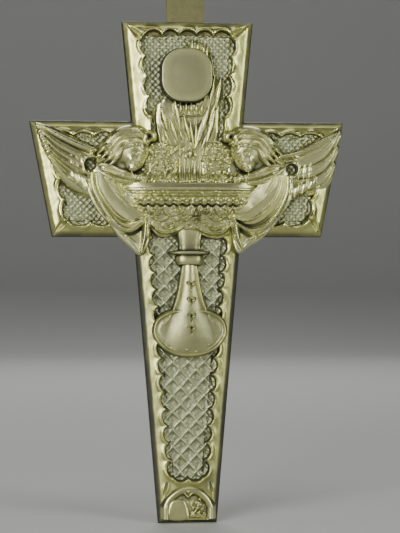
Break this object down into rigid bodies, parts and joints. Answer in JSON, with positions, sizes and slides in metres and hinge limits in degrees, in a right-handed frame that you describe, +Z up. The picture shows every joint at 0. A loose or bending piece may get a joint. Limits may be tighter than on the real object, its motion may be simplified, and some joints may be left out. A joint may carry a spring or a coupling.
{
  "type": "processional cross",
  "caption": "Small cast-brass cross with flared arms, a scalloped border, relief mounts of a host, chalice and angels, and a hinged bail to hang it by.",
  "frame": {"origin": "middle of the foot's flat end face", "axes": "+X to the viewer's right, +Y to the plain back, +Z up the shaft to the hanger"},
  "size_m": [0.1264, 0.0116, 0.234],
  "materials": {
    "plain_brass": "filed flat and left plain, toned olive brown, faint file marks",
    "toned_ground": "recessed lattice ground, matt and dark with old polish and tarnish",
    "burnished_border": "satin bevelled border, brighter on the worn edges",
    "cast_relief": "cast and chased relief, satin on the high points and toned in the recesses",
    "hanger_brass": "drawn strap and rod, satin, rubbed bright at the knuckle",
    "fastener_brass": "turned heads, lightly tarnished"
  },
  "bodies": {
    "cross": {"back_plate": "plain_brass", "ground_sheet": "toned_ground", "border_frame": "burnished_border", "frame_screws": "fastener_brass", "mount_screws": "fastener_brass", "hanger_strap": "hanger_brass", "hanger_rivets": "fastener_brass", "host_disc": "cast_relief", "glory_rays": "cast_relief", "chalice_rim": "cast_relief", "chalice_bowl": "cast_relief", "chalice_knop": "cast_relief", "chalice_foot": "cast_relief", "left_grapes": "cast_relief", "left_angel": "cast_relief", "left_robe": "cast_relief", "left_wing": "cast_relief", "right_grapes": "cast_relief", "right_angel": "cast_relief", "right_robe": "cast_relief", "right_wing": "cast_relief", "foot_arch": "cast_relief", "foot_tomb": "cast_relief", "foot_sprig": "cast_relief"},
    "bail": {"bail_ring": "hanger_brass"}
  },
  "joints": [
    {"name": "bail_hinge", "type": "hinge", "parent": "cross", "child": "bail", "pos_m": [-0.0008, -0.0006, 0.2144], "axis": [1, 0, 0], "range_deg": [-150, 150]}
  ]
}
